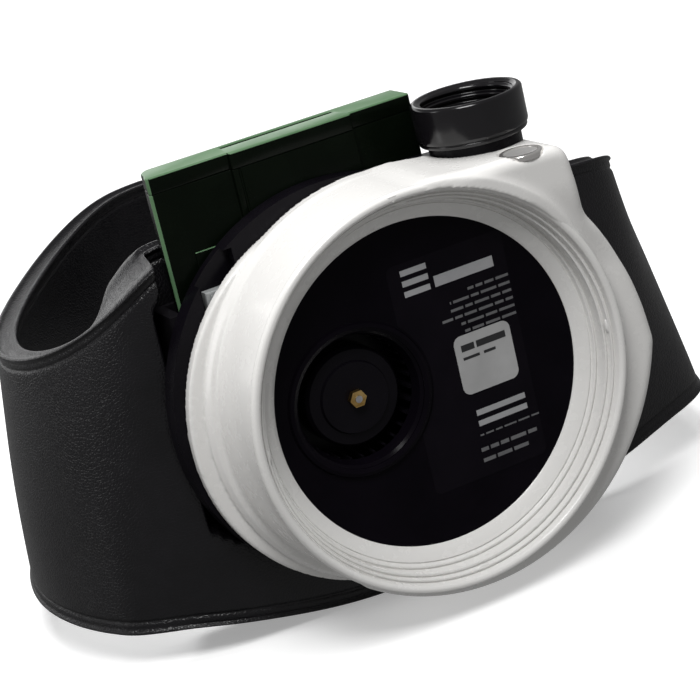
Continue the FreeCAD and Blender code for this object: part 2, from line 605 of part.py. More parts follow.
def belt_pad():
    rails, knots = belt_rails()
    curves = [spline(r, knots) for r in rails]
    faces = [Part.makeRuledSurface(a, b) for a, b in zip(curves, curves[1:] + curves[:1])]
    for end in (0, -1):
        corners = [r[end] for r in rails]
        faces.append(Part.Face(Part.makePolygon(corners + corners[:1])))
    shell = Part.makeCompound([f for g in faces for f in g.Faces])
    shell.sewShape(1e-3)
    pad = Part.makeSolid(shell.Shells[0])
    if pad.Volume < 0:
        pad.reverse()
    pocket_y = (STRAP_Y[0] - 0.2, STRAP_Y[1] + 0.2)
    pocket_z = (STRAP_Z[0] - 0.3, STRAP_Z[1] + 0.3)
    pockets = [block(x, pocket_y, pocket_z) for x in ((-21, 10), (48, 82))]
    holes = [disc(at, RIVET_R + 0.05, 70, 100) for at in RIVET_AT]
    return pad.cut(Part.makeCompound(pockets + holes))


def strap_left():
    return block((-20, PLUG_X[0] + 3.4), STRAP_Y, STRAP_Z)


def strap_right():
    return block((SOCKET_X[1] - 3.4, 81), STRAP_Y, STRAP_Z)


def buckle_plug():
    x0, x1 = PLUG_X
    mid_y = (BUCKLE_Y[0] + BUCKLE_Y[1]) / 2
    base = block((x0, x1 - 12), (mid_y - 4.0, mid_y + 4.0), BUCKLE_Z)
    slot = block((x0 + 3.5, x0 + 8.0), (0, 400), (STRAP_Z[0] - 1, STRAP_Z[1] + 1))
    entry = block((x0 - 1, x0 + 4), *STRAP_ENTRY)
    tongue = block((x1 - 13, x1 + 14), (mid_y - 1.5, mid_y + 1.5), (-16, -4))
    return joined(base.cut(slot).cut(entry), tongue)


def buckle_prong(side):
    x1 = PLUG_X[1]
    mid_y = (BUCKLE_Y[0] + BUCKLE_Y[1]) / 2
    centre = (BUCKLE_Z[0] + BUCKLE_Z[1]) / 2
    half = (BUCKLE_Z[1] - BUCKLE_Z[0]) / 2
    a, b = centre + side * (half - 5.4), centre + side * (half - 1.6)
    arm = block((x1 - 11.7, x1 + 13), (mid_y - 2.6, mid_y + 2.6), (min(a, b), max(a, b)))
    a, b = centre + side * (half - 3.0), centre + side * (half + 1.0)
    pad = block((x1 + 3, x1 + 13), (mid_y - 2.6, mid_y + 2.6), (min(a, b), max(a, b)))
    return joined(arm, pad)


def buckle_socket():
    x0, x1 = SOCKET_X
    mid_y = (BUCKLE_Y[0] + BUCKLE_Y[1]) / 2
    body = rounded(block(SOCKET_X, BUCKLE_Y, BUCKLE_Z), 2.0, lambda e: e.BoundBox.XLength > 10)
    room = block((x0 - 1, x0 + 15.5), (mid_y - 3.2, mid_y + 3.2), (BUCKLE_Z[0] + 1.2, BUCKLE_Z[1] - 1.2))
    windows = block((x0 + 1.6, x0 + 13.6), (mid_y - 3.2, mid_y + 3.2), (BUCKLE_Z[0] - 1, BUCKLE_Z[1] + 1))
    slot = block((x1 - 8.0, x1 - 3.5), (0, 400), (STRAP_Z[0] - 1, STRAP_Z[1] + 1))
    entry = block((x1 - 4, x1 + 1), *STRAP_ENTRY)
    return body.cut(room).cut(windows).cut(slot).cut(entry)


NODES = {
    "front_housing": front_housing, "rear_housing": rear_housing, "housing_screws": housing_screws,
    "inlet_plate": inlet_plate, "plate_seal": plate_seal,
    "notice_label": notice_label, "serial_label": serial_label,
    "fan_scroll": fan_scroll, "impeller": impeller, "hub_nut": hub_nut, "motor_shaft": motor_shaft,
    "motor_body": motor_body, "motor_bearings": motor_bearings, "motor_bracket": motor_bracket,
    "control_board": control_board, "board_parts": board_parts, "alarm_buzzer": alarm_buzzer,
    "outlet_neck": outlet_neck, "hose_collar": hose_collar, "outlet_seal": outlet_seal,
    "button_bezel": button_bezel, "power_button": power_button, "button_spring": button_spring,
    "button_switch": button_switch,
    "battery_case": battery_case, "battery_lid": battery_lid, "battery_cells": battery_cells,
    "battery_board": battery_board, "battery_contacts": battery_contacts,
    "battery_dock": battery_dock, "dock_contacts": dock_contacts, "belt_rivets": belt_rivets,
    "battery_latch": battery_latch, "latch_spring": latch_spring,
    "belt_pad": belt_pad, "belt_bolster": belt_bolster,
    "strap_left": strap_left, "strap_right": strap_right,
    "buckle_plug": buckle_plug, "buckle_socket": buckle_socket,
    "buckle_prong_upper": lambda: buckle_prong(1), "buckle_prong_lower": lambda: buckle_prong(-1),
}

for node, make in NODES.items():
    shape = make()
    shape.translate(WAIST * -1)
    shape.exportStep("parts/" + node + ".step")
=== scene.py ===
import math

import bmesh
import bpy
import numpy as np
from mathutils import Matrix, Vector


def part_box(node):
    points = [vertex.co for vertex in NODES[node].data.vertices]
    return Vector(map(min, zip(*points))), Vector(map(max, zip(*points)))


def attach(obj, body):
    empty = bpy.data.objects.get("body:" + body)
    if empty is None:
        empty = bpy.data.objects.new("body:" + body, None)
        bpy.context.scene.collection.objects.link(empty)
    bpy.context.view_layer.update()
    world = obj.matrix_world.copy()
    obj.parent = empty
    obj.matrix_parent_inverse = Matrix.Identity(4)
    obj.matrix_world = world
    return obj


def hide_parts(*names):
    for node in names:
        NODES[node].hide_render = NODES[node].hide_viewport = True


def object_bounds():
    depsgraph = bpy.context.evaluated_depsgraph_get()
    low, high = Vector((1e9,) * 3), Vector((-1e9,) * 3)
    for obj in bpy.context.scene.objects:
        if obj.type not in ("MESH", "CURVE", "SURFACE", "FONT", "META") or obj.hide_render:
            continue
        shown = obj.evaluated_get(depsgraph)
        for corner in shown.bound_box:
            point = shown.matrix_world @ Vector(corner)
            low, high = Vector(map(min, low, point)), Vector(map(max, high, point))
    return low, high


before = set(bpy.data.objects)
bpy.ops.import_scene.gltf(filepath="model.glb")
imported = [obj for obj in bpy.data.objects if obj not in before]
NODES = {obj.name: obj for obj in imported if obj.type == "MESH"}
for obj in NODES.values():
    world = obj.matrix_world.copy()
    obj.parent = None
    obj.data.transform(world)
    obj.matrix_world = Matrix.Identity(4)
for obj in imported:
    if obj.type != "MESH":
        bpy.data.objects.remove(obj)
CAD_BOX = [list(corner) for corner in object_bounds()]

# The blower's own measures are in millimetres from the centre of the cup's mouth: x to the right,
# y from the mouth towards the wearer, z up. placed() turns them into the frame's metres.
MM = 0.001
plate_low, plate_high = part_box("inlet_plate")
CUP = Vector(((plate_low.x + plate_high.x) / 2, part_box("front_housing")[0].y, (plate_low.z + plate_high.z) / 2))


def placed(points):
    return np.asarray(points, float) * MM + np.array(CUP)


def local(node):
    """A CAD node's box in the blower's millimetres: (x0, y0, z0), (x1, y1, z1)."""
    low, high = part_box(node)
    return (np.array(low) - np.array(CUP)) / MM, (np.array(high) - np.array(CUP)) / MM


def middle(node):
    low, high = local(node)
    return (low + high) / 2


# ---------------------------------------------------------------- materials

def tree_of(name):
    material = bpy.data.materials.new(name)
    material.use_nodes = True
    tree = material.node_tree
    return material, tree, tree.nodes["Principled BSDF"]


def node(tree, kind, **values):
    made = tree.nodes.new(kind)
    for key, value in values.items():
        if key in made.inputs.keys():
            made.inputs[key].default_value = value
        else:
            setattr(made, key, value)
    return made


def noise(tree, scale, detail=3.0, rough=0.55, stretch=(1, 1, 1)):
    coords = node(tree, "ShaderNodeTexCoord")
    scaled = node(tree, "ShaderNodeMapping", Scale=stretch)
    made = node(tree, "ShaderNodeTexNoise", Scale=scale, Detail=detail, Roughness=rough)
    tree.links.new(coords.outputs["Object"], scaled.inputs["Vector"])
    tree.links.new(scaled.outputs["Vector"], made.inputs["Vector"])
    return made.outputs["Fac"]


def ramp(tree, value, low, high, start=0.3, end=0.7):
    made = node(tree, "ShaderNodeValToRGB")
    made.color_ramp.elements[0].position, made.color_ramp.elements[1].position = start, end
    made.color_ramp.elements[0].color = (*low, 1)
    made.color_ramp.elements[1].color = (*high, 1)
    tree.links.new(value, made.inputs["Fac"])
    return made.outputs["Color"]


def spread(tree, value, low, high):
    made = node(tree, "ShaderNodeMapRange")
    made.inputs["To Min"].default_value, made.inputs["To Max"].default_value = low, high
    tree.links.new(value, made.inputs["Value"])
    return made.outputs["Result"]


def bump(tree, shader, height, strength, distance):
    made = node(tree, "ShaderNodeBump", Strength=strength, Distance=distance)
    tree.links.new(height, made.inputs["Height"])
    tree.links.new(made.outputs["Normal"], shader.inputs["Normal"])


def moulded(name, low, high, rough, grain=0.0, grain_scale=900, **sockets):
    """Moulded plastic or metal: faint mottling in colour and gloss, and a fine surface grain."""
    material, tree, shader = tree_of(name)
    for key, value in sockets.items():
        shader.inputs[key.replace("_", " ")].default_value = value
    cloudy = noise(tree, 45, 4)
    tree.links.new(ramp(tree, cloudy, low, high), shader.inputs["Base Color"])
    tree.links.new(spread(tree, noise(tree, 160, 5), *rough), shader.inputs["Roughness"])
    if grain:
        bump(tree, shader, noise(tree, grain_scale, 2), grain, 0.0002)
    return material


def belt_leather():
    """Smooth synthetic leather: cells of fine grain with darker creases, over soft larger unevenness."""
    material, tree, shader = tree_of("belt_leather")
    coords = node(tree, "ShaderNodeTexCoord")
    cells = node(tree, "ShaderNodeTexVoronoi", feature="DISTANCE_TO_EDGE", Scale=720.0)
    tree.links.new(coords.outputs["Object"], cells.inputs["Vector"])
    crease = node(tree, "ShaderNodeMapRange")
    crease.inputs["From Max"].default_value = 0.22
    tree.links.new(cells.outputs["Distance"], crease.inputs["Value"])
    uneven = noise(tree, 60, 5, 0.6)
    height = node(tree, "ShaderNodeMath", operation="MULTIPLY_ADD")
    tree.links.new(uneven, height.inputs[0])
    height.inputs[1].default_value = 1.6
    tree.links.new(crease.outputs["Result"], height.inputs[2])
    bump(tree, shader, height.outputs["Value"], 0.34, 0.00035)
    tree.links.new(ramp(tree, uneven, (0.0028, 0.0025, 0.0034), (0.0055, 0.005, 0.0065)), shader.inputs["Base Color"])
    tree.links.new(spread(tree, noise(tree, 210, 4), 0.27, 0.39), shader.inputs["Roughness"])
    shader.inputs["Specular IOR Level"].default_value = 0.38
    return material


def webbing():
    """Woven strap: ribs across the strap and a twill along it."""
    material, tree, shader = tree_of("strap_webbing")
    coords = node(tree, "ShaderNodeTexCoord")
    ribs = node(tree, "ShaderNodeTexWave", Scale=520.0, bands_direction="X", Distortion=0.6)
    twill = node(tree, "ShaderNodeTexWave", Scale=380.0, bands_direction="DIAGONAL", Distortion=0.4)
    for wave in (ribs, twill):
        tree.links.new(coords.outputs["Object"], wave.inputs["Vector"])
    height = node(tree, "ShaderNodeMath", operation="ADD")
    tree.links.new(ribs.outputs["Fac"], height.inputs[0])
    tree.links.new(twill.outputs["Fac"], height.inputs[1])
    bump(tree, shader, height.outputs["Value"], 0.7, 0.0004)
    tree.links.new(ramp(tree, ribs.outputs["Fac"], (0.008, 0.008, 0.009), (0.03, 0.03, 0.032)), shader.inputs["Base Color"])
    shader.inputs["Roughness"].default_value = 0.82
    shader.inputs["Sheen Weight"].default_value = 0.3
    return material


def brushed(name, low, high, stretch):
    """Drawn or turned metal with fine parallel marks."""
    material, tree, shader = tree_of(name)
    shader.inputs["Metallic"].default_value = 1.0
    marks = noise(tree, 300, 3, 0.6, stretch)
    tree.links.new(ramp(tree, marks, low, high), shader.inputs["Base Color"])
    tree.links.new(spread(tree, marks, 0.2, 0.42), shader.inputs["Roughness"])
    bump(tree, shader, marks, 0.12, 0.0001)
    return material


MATERIALS = {
    "white": moulded("white_gloss", (0.785, 0.775, 0.755), (0.80, 0.79, 0.77), (0.24, 0.3), 0.01,
                     Coat_Weight=0.2, Coat_Roughness=0.12),
    "plate": moulded("plate_black", (0.0022, 0.0016, 0.003), (0.0036, 0.0026, 0.0046), (0.14, 0.24), 0.02,
                     Specular_IOR_Level=0.05),
    "black": moulded("shell_black", (0.003, 0.0024, 0.0038), (0.0048, 0.004, 0.006), (0.22, 0.34), 0.03,
                     Specular_IOR_Level=0.1),
    "collar": moulded("collar_black", (0.0035, 0.003, 0.004), (0.006, 0.0055, 0.0065), (0.12, 0.2), 0.02,
                      Specular_IOR_Level=0.5),
    "green": moulded("battery_green", (0.0012, 0.0024, 0.0011), (0.0022, 0.004, 0.002), (0.16, 0.28), 0.03,
                     Specular_IOR_Level=0.08),
    # lighter green given to battery faces picked as lit: painted highlight on edges, painted reflection on upward
    # faces
    "green_painted_highlight": moulded("battery_painted_highlight", (0.07, 0.15, 0.07), (0.10, 0.19, 0.095), (0.3, 0.42), 0.03),
    "dock": moulded("dock_black", (0.004, 0.0036, 0.0045), (0.008, 0.0072, 0.009), (0.42, 0.56), 0.3, 1400,
                    Specular_IOR_Level=0.15),
    "grey": moulded("latch_grey", (0.25, 0.26, 0.26), (0.34, 0.35, 0.35), (0.3, 0.42), 0.1),
    "rubber": moulded("seal_rubber", (0.012, 0.012, 0.012), (0.022, 0.022, 0.022), (0.6, 0.75), 0.2),
    "board": moulded("board_green", (0.006, 0.07, 0.022), (0.012, 0.12, 0.04), (0.3, 0.42), 0.1),
    "epoxy": moulded("component_black", (0.012, 0.012, 0.013), (0.03, 0.03, 0.032), (0.45, 0.6), 0.2),
    "film": moulded("clear_film", (0.003, 0.0023, 0.004), (0.0048, 0.0036, 0.006), (0.14, 0.22), 0.02,
                    Specular_IOR_Level=0.07),
    "silver": moulded("silver_label", (0.42, 0.42, 0.42), (0.52, 0.52, 0.52), (0.32, 0.42), 0.05,
                      Metallic=0.35),
    "print": moulded("pale_print", (0.30, 0.30, 0.31), (0.38, 0.38, 0.39), (0.4, 0.5)),
    "print_dim": moulded("dim_print", (0.10, 0.10, 0.105), (0.15, 0.15, 0.155), (0.4, 0.5)),
    "ink": moulded("dark_print", (0.01, 0.01, 0.011), (0.02, 0.02, 0.022), (0.4, 0.5)),
    "chrome": moulded("bezel_chrome", (0.72, 0.70, 0.68), (0.82, 0.80, 0.78), (0.14, 0.24), 0.02, Metallic=0.85),
    "cap": moulded("button_cap", (0.62, 0.61, 0.60), (0.74, 0.73, 0.72), (0.24, 0.34), 0.02, Metallic=0.55),
    "brass": brushed("hub_brass", (0.42, 0.25, 0.07), (0.72, 0.50, 0.2), (1, 6, 1)),
    "steel": brushed("plain_steel", (0.42, 0.42, 0.43), (0.62, 0.62, 0.63), (1, 8, 1)),
    "can": brushed("cell_can", (0.5, 0.5, 0.52), (0.7, 0.7, 0.72), (8, 8, 1)),
    "belt": belt_leather(),
    "webbing": webbing(),
}


# ---------------------------------------------------------------- mesh helpers

def made(name, points, faces, material, slot, body="blower", smooth=True, split=None):
    """A new piece from points in the blower's millimetres."""
    mesh = bpy.data.meshes.new(name)
    mesh.from_pydata(placed(points).tolist(), [], [list(map(int, f)) for f in faces])
    mesh.validate()
    tidy = bmesh.new()
    tidy.from_mesh(mesh)
    bmesh.ops.recalc_face_normals(tidy, faces=tidy.faces)
    tidy.to_mesh(mesh)
    tidy.free()
    piece = bpy.data.objects.new(name, mesh)
    bpy.context.scene.collection.objects.link(piece)
    mesh.materials.append(MATERIALS[material])
    mesh.polygons.foreach_set("use_smooth", [smooth] * len(mesh.polygons))
    if split:
        mesh.set_sharp_from_angle(angle=math.radians(split))
    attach(piece, body)
    return piece


def grid_faces(rows, columns, close_rows=False, close_columns=False):
    faces = []
    for i in range(rows if close_rows else rows - 1):
        for j in range(columns if close_columns else columns - 1):
            k, n = (i + 1) % rows, (j + 1) % columns
            faces.append((i * columns + j, k * columns + j, k * columns + n, i * columns + n))
    return faces


def softened(points, radius, steps=3, closed=True):
    """A polygon's corners turned into short arcs."""
    points = [np.array(p, float) for p in points]
    count, out = len(points), []
    for i, p in enumerate(points):
        if not closed and i in (0, count - 1):
            out.append(p)
            continue
        a, b = points[i - 1] - p, points[(i + 1) % count] - p
        cut = min(radius, np.linalg.norm(a) * 0.42, np.linalg.norm(b) * 0.42)
        start, end = p + a / np.linalg.norm(a) * cut, p + b / np.linalg.norm(b) * cut
        for k in range(steps + 1):
            t = k / steps
            out.append((1 - t) ** 2 * start + 2 * t * (1 - t) * p + t * t * end)
    return np.array(out)


def lathe(profile, at, segments=256):
    """A closed (radius, y) profile turned about a line along Y."""
    angles = np.linspace(0, 2 * math.pi, segments, endpoint=False)
    r, y = profile[:, 0][:, None], profile[:, 1][:, None]
    x, z = at[0] + r * np.cos(angles), at[1] + r * np.sin(angles)
    points = np.stack([x, np.broadcast_to(y, x.shape), z], -1).reshape(-1, 3)
    return points, grid_faces(len(profile), segments, True, True)


def prism(outline, low, high, axis=1):
    """A closed outline raised along an axis. The outline's two values are the other two axes."""
    outline = np.array(outline, float)
    count = len(outline)
    ends = []
    for level in (low, high):
        full = np.insert(outline, axis, level, axis=1)
        ends.append(full)
    points = np.concatenate(ends)
    faces = [tuple(range(count)), tuple(range(2 * count - 1, count - 1, -1))]
    faces += [(i, (i + 1) % count, count + (i + 1) % count, count + i) for i in range(count)]
    return points, faces


def merged(*solids):
    points, faces, start = [], [], 0
    for p, f in solids:
        points.append(np.array(p))
        faces += [tuple(i + start for i in face) for face in f]
        start += len(p)
    return np.concatenate(points), faces


def bevelled(piece, width, segments=3, angle=30, material=-1):
    step = piece.modifiers.new("edges", "BEVEL")
    step.width, step.segments = width * MM, segments
    step.limit_method, step.angle_limit = "ANGLE", math.radians(angle)
    step.material = material
    step.harden_normals = False
    return piece


def applied(piece):
    """Replaces a piece's mesh by what its modifiers make of it."""
    bpy.context.view_layer.update()
    graph = bpy.context.evaluated_depsgraph_get()
    mesh = bpy.data.meshes.new_from_object(piece.evaluated_get(graph))
    piece.modifiers.clear()
    piece.data = mesh
    return piece


def dressed(material, *names):
    for name in names:
        NODES[name].data.materials.clear()
        NODES[name].data.materials.append(MATERIALS[material])


# ---------------------------------------------------------------- front shell

LIP_R, CUP_R, WALL = 83.5, 84.0, 2.8
SPLIT_Y = local("front_housing")[1][1]
CAVITY_Y = 23.5
SCROLL_FRONT = 7.5
SCROLL_DEG, SCROLL_R = (235.0, 352.0), (84.0, 102.5)
FLANK = ((99.6, 2), (96.2, 16), (90.6, 30), (84.6, 40.5), (78.4, 49))
BOSS_RIGHT, BOSS_TOP, BOSS_FRONT, BOSS_RISE = 74.4, 80.0, 0.2, (22.0, 66.0)
FLANGE, VOLUTE = (-2.9, -1.7, 85.2), (-14.0, -2.6, 80.5)
NECK = middle("outlet_neck")
BEZEL = middle("button_bezel")
BEZEL_LOW = local("button_bezel")[0][2]


def casing_outline():
    """Scroll bulge and boss as one outline in x and z."""
    points = []
    for i in range(40):
        share = i / 39
        radius = SCROLL_R[0] + (SCROLL_R[1] - SCROLL_R[0]) * share
        a = math.radians(SCROLL_DEG[0] + (SCROLL_DEG[1] - SCROLL_DEG[0]) * share)
        points.append((radius * math.cos(a), radius * math.sin(a)))
    corner = [(BOSS_RIGHT, BOSS_TOP)]
    outline = points[:-1] + [points[-1], *FLANK, *corner, (10, 82.6), (-30, 20)]
    return softened(outline, 8.0, 5)


def outline_distance(x, z, outline):
    """Signed distance in the x, z plane to a closed outline, negative inside."""
    best = np.full(x.shape, 1e9)
    inside = np.zeros(x.shape, bool)
    for (ax, az), (bx, bz) in zip(outline, np.roll(outline, -1, axis=0)):
        ex, ez = bx - ax, bz - az
        length = ex * ex + ez * ez
        if length < 1e-9:
            continue
        t = np.clip(((x - ax) * ex + (z - az) * ez) / length, 0, 1)
        best = np.minimum(best, (x - ax - t * ex) ** 2 + (z - az - t * ez) ** 2)
        crosses = (az > z) != (bz > z)
        with np.errstate(divide="ignore", invalid="ignore"):
            inside ^= crosses & (x < (bx - ax) * (z - az) / (bz - az + 1e-12) + ax)
    return np.where(inside, -1, 1) * np.sqrt(best)


def slab(distance, y, front, back, edge):
    """A flat shape given its distance in its own plane, between two levels, with rounded edges."""
    a = distance + edge
    b = np.abs(y - (front + back) / 2) - (back - front) / 2 + edge
    outside = np.sqrt(np.maximum(a, 0) ** 2 + np.maximum(b, 0) ** 2)
    return np.minimum(np.maximum(a, b), 0) + outside - edge


def blended(a, b, reach):
    h = np.maximum(reach - np.abs(a - b), 0) / reach
    return np.minimum(a, b) - h * h * reach / 4


OUTLINE = casing_outline()
TABLE_LOW, TABLE_STEP = np.array([-96.0, -96.0]), 0.5
table_x, table_z = np.meshgrid(np.arange(-96, 112, TABLE_STEP), np.arange(-96, 96, TABLE_STEP), indexing="ij")
CASING = outline_distance(table_x, table_z, OUTLINE)


def casing_distance(x, z):
    """The outline's distance, read from a fine table of it."""
    u, v = (x - TABLE_LOW[0]) / TABLE_STEP, (z - TABLE_LOW[1]) / TABLE_STEP
    i = np.clip(u.astype(int), 0, CASING.shape[0] - 2)
    j = np.clip(v.astype(int), 0, CASING.shape[1] - 2)
    a, b = u - i, v - j
    low = CASING[i, j] * (1 - a) + CASING[i + 1, j] * a
    high = CASING[i, j + 1] * (1 - a) + CASING[i + 1, j + 1] * a
    return low * (1 - b) + high * b


def shell_distance(p):
    """Signed distance to the white front shell, whose parts run into each other in soft fillets."""
    x, y, z = p[:, 0], p[:, 1], p[:, 2]
    r = np.hypot(x, z)
    wall = np.maximum(r - (83.0 + (y - 5.2) / 30.8), np.maximum(1.2 - y, y - SPLIT_Y - 4))
    casing = casing_distance(x, z)
    front = BOSS_FRONT + (SCROLL_FRONT - BOSS_FRONT) * (1 - eased(z, *BOSS_RISE))
    bulge = slab(casing, y, front, SPLIT_Y + 9, 5.0)
    flange_r = np.hypot(x - FLANGE[0], z - FLANGE[1])
    cone = np.maximum(flange_r - (83.0 + np.clip(y - 34.5, -2, 4) * 0.55), np.abs(y - 38.2) - 2.8)
    volute = np.maximum(np.hypot(x - VOLUTE[0], z - VOLUTE[1]) - VOLUTE[2], 40.0 - y)
    body = blended(wall, bulge, 7.0)
    body = blended(body, cone, 1.4)
    body = np.minimum(body, volute)
    body = np.maximum(body, y - SPLIT_Y)
    inner = np.maximum(body + WALL, CAVITY_Y - y)
    inner = np.minimum(inner, slab(casing + WALL, y, SCROLL_FRONT + WALL, SPLIT_Y + 9, 3.0))
    inner = np.minimum(inner, np.maximum(bulge + WALL, 30 - z))
    inner = np.where(y > SPLIT_Y - 3.5, np.maximum(body + WALL, -1e3), inner)
    inner = np.maximum(inner, np.where(y < CAVITY_Y, 84.8 - r, -1e3))
    body = np.maximum(body, -np.minimum(inner, 1e3))
    mouth = np.maximum(r - 80.6, y - CAVITY_Y)
    body = np.maximum(body, -mouth)
    neck = np.maximum(np.hypot(x - NECK[0], y - NECK[1]) - 19.4, 70 - z)
    seat = np.maximum(np.hypot(x - BEZEL[0], y - BEZEL[1]) - 9.05, BEZEL_LOW - z)
    button = np.maximum(np.hypot(x - BEZEL[0], y - BEZEL[1]) - 7.6, 70 - z)
    return np.maximum(body, -np.minimum(np.minimum(neck, seat), button))


def surface(distance, low, high, step):
    """Points and quads of the surface where distance(points) is zero, from one point per mixed cell."""
    axes = [np.arange(a, b + step, step) for a, b in zip(low, high)]
    shape = tuple(len(a) for a in axes)
    field = np.empty(shape, np.float32)
    for i, x in enumerate(axes[0]):
        ys, zs = np.meshgrid(axes[1], axes[2], indexing="ij")
        layer = np.stack([np.full(ys.size, x), ys.ravel(), zs.ravel()], -1)
        field[i] = distance(layer).reshape(ys.shape)
    inside = field < 0
    cells = tuple(n - 1 for n in shape)
    corners = [(i, j, k) for i in (0, 1) for j in (0, 1) for k in (0, 1)]
    part = lambda a, c: a[c[0]:c[0] + cells[0], c[1]:c[1] + cells[1], c[2]:c[2] + cells[2]]
    total = sum(part(inside, c).astype(np.int8) for c in corners)
    mixed = (total > 0) & (total < 8)
    index = np.full(cells, -1, np.int64)
    index[mixed] = np.arange(mixed.sum())
    where = np.argwhere(mixed)
    weight, centre = np.zeros(len(where)), np.zeros((len(where), 3))
    for a in corners:
        for axis in range(3):
            if a[axis]:
                continue
            b = list(a)
            b[axis] = 1
            va, vb = part(field, a)[mixed], part(field, b)[mixed]
            cross = (va < 0) != (vb < 0)
            t = np.where(cross, va / np.where(cross, va - vb, 1), 0)
            spot = np.tile(np.array(a, float), (len(where), 1))
            spot[:, axis] += t
            centre += spot * cross[:, None]
            weight += cross
    points = (where + centre / weight[:, None]) * step + np.array([a[0] for a in axes])
    for _ in range(3):
        value = distance(points)
        slope = np.stack([distance(points + d) - value for d in np.eye(3) * 0.05], -1) / 0.05
        points -= np.clip(value, -step, step)[:, None] * slope / np.maximum((slope ** 2).sum(1), 0.3)[:, None] * 0.8
    faces = []
    for axis in range(3):
        u, v = [(1, 2), (2, 0), (0, 1)][axis]
        first = [slice(1, -1)] * 3
        first[axis] = slice(0, -1)
        second = list(first)
        second[axis] = slice(1, None)
        flip = inside[tuple(first)] != inside[tuple(second)]
        base = np.argwhere(flip) + np.array([0 if k == axis else 1 for k in range(3)])
        quad = []
        for du, dv in ((0, 0), (1, 0), (1, 1), (0, 1)):
            at = base.copy()
            at[:, u] -= du
            at[:, v] -= dv
            quad.append(index[tuple(at.T)])
        quads = np.stack(quad, -1)
        faces.append(quads[(quads >= 0).all(1)])
    return points, np.concatenate(faces)


INDEX_MARK = ((-6.6, 82.4), (-3.0, 82.6), (-4.6, 79.9))     # the small arrow at the top of the cup's lip


def front_shell():
    points, faces = surface(shell_distance, (-98, -2, -92), (106, 47, 88), 1.0)
    shell = made("front_shell", points, faces, "white", "white_shell")
    lip = [(82.2, 7), (82.7, 4.6), (82.9, 4.0), (83.4, 3.4), (LIP_R, 2.2), (83.2, 0.9), (82.3, 0.1), (81.0, 0)]
    lip += [(79.8, 0.7), (79.3, 2.6), (79.3, 3.9), (78.7, 3.9), (78.6, 3.3), (77.8, 3.3), (77.7, 6.4), (77.1, 6.4)]
    lip += [(77.0, 5.8), (76.0, 5.8), (76.0, 12.1), (75.4, 12.1), (75.3, 11.5), (74.4, 11.5), (74.0, 13.2)]
    lip += [(73.4, 13.4), (73.2, 12.9), (67.5, 16.4), (67.5, 17.0), (71.6, 17.0), (71.6, CAVITY_Y)]
    lip += [(80.9, CAVITY_Y), (80.9, 8)]
    solids = [lathe(softened(lip, 0.4, 2), (0, 0), 384), prism(INDEX_MARK, 0.1, 1.0, axis=1)]
    for degrees in (0, 90, 180, 270):
        solids.append(detent(degrees))
    ring = made("cup_ring", *merged(*solids), "white", "white_shell", split=38)
    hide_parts("front_housing")
    return shell, ring


def detent(degrees):
    """A half-moon bump on the cup's inner wall."""
    a = math.radians(degrees)
    out, side = np.array([math.cos(a), 0, math.sin(a)]), np.array([-math.sin(a), 0, math.cos(a)])
    rows = []
    for i in range(9):
        lat = -math.pi / 2 + math.pi * i / 8
        for j in range(24):
            turn = 2 * math.pi * j / 24
            along, deep = 3.0 * math.cos(lat) * math.cos(turn), 1.0 * math.cos(lat) * math.sin(turn)
            rows.append(out * (77.8 - deep) + side * along + np.array([0, 4.5 + 1.0 * math.sin(lat), 0]))
    return np.array(rows), grid_faces(9, 24, False, True)



# ---------------------------------------------------------------- hose collar

def hose_collar():
    """Turned collar with a real round thread inside its mouth."""
    low, high = local("hose_collar")
    at, z0, z1 = middle("hose_collar"), low[2], high[2]
    radius, pitch, crest, root = (high[0] - low[0]) / 2, 3.63, 18.5, 19.95
    floor_z = z0 + 5.6
    outer = [(17.0, z0 + 0.4), (21.4, z0), (22.4, z0 + 0.6), (22.5, z0 + 1.7), (22.2, z0 + 2.0), (22.9, z0 + 2.5)]
    outer += [(radius, z0 + 3.4), (radius, z1 - 0.9), (radius - 0.8, z1), (root + 0.9, z1), (root, z1 - 0.8)]
    outer = softened(outer, 0.4, 3, closed=False)
    turns = np.linspace(z1 - 1.0, floor_z, 64)
    floor = [(crest - 0.2, floor_z - 0.1), (17.0, floor_z - 0.2), (15.0, floor_z - 0.6), (15.0, z0 + 0.6)]
    angles = np.linspace(0, 2 * math.pi, 192, endpoint=False)
    rows = [(np.full(192, r), z) for r, z in outer]
    for z in turns:
        wave = np.sin(2 * math.pi * ((z1 - z) / pitch + angles / (2 * math.pi)))
        fade = min(1, (z1 - z) / 2.4) * min(1, (z - floor_z) / 1.5 + 0.05)
        middle_r = (crest + root) / 2
        rows.append((middle_r + np.tanh(wave * 1.6) / np.tanh(1.6) * (root - crest) / 2 * fade, z))
    rows += [(np.full(192, r), z) for r, z in floor]
    points = []
    for r, z in rows:
        points.append(np.stack([at[0] + r * np.cos(angles), at[1] + r * np.sin(angles), np.full(192, z)], -1))
    piece = made("hose_collar_ring", np.concatenate(points), grid_faces(len(rows), 192, True, True),
                 "collar", "collar_black", split=50)
    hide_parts("hose_collar")


# ---------------------------------------------------------------- battery

def green_block(name, outline, low, high, edge, light, cutters=()):
    """A glossy dark green moulding; the faces where light(centre, normal) holds take a lighter green, a painted
    highlight.
    """
    piece = made(name, *prism(outline, low, high, axis=2), "green", "battery_green", "battery", smooth=True)
    piece.data.materials.append(MATERIALS["green_painted_highlight"])
    for cutter in cutters:
        step = piece.modifiers.new("cut", "BOOLEAN")
        step.object, step.operation, step.solver = cutter, "DIFFERENCE", "EXACT"
    bevelled(piece, edge, 3, 40)
    applied(piece)
    for face in piece.data.polygons:
        spot = (Vector(face.center) - CUP) / MM
        face.material_index = int(bool(light(spot, face.normal)))
    piece.data.set_sharp_from_angle(angle=math.radians(35))
    return piece


def box_points(x, y, z):
    return prism([(x[0], y[0]), (x[1], y[0]), (x[1], y[1]), (x[0], y[1])], z[0], z[1], axis=2)


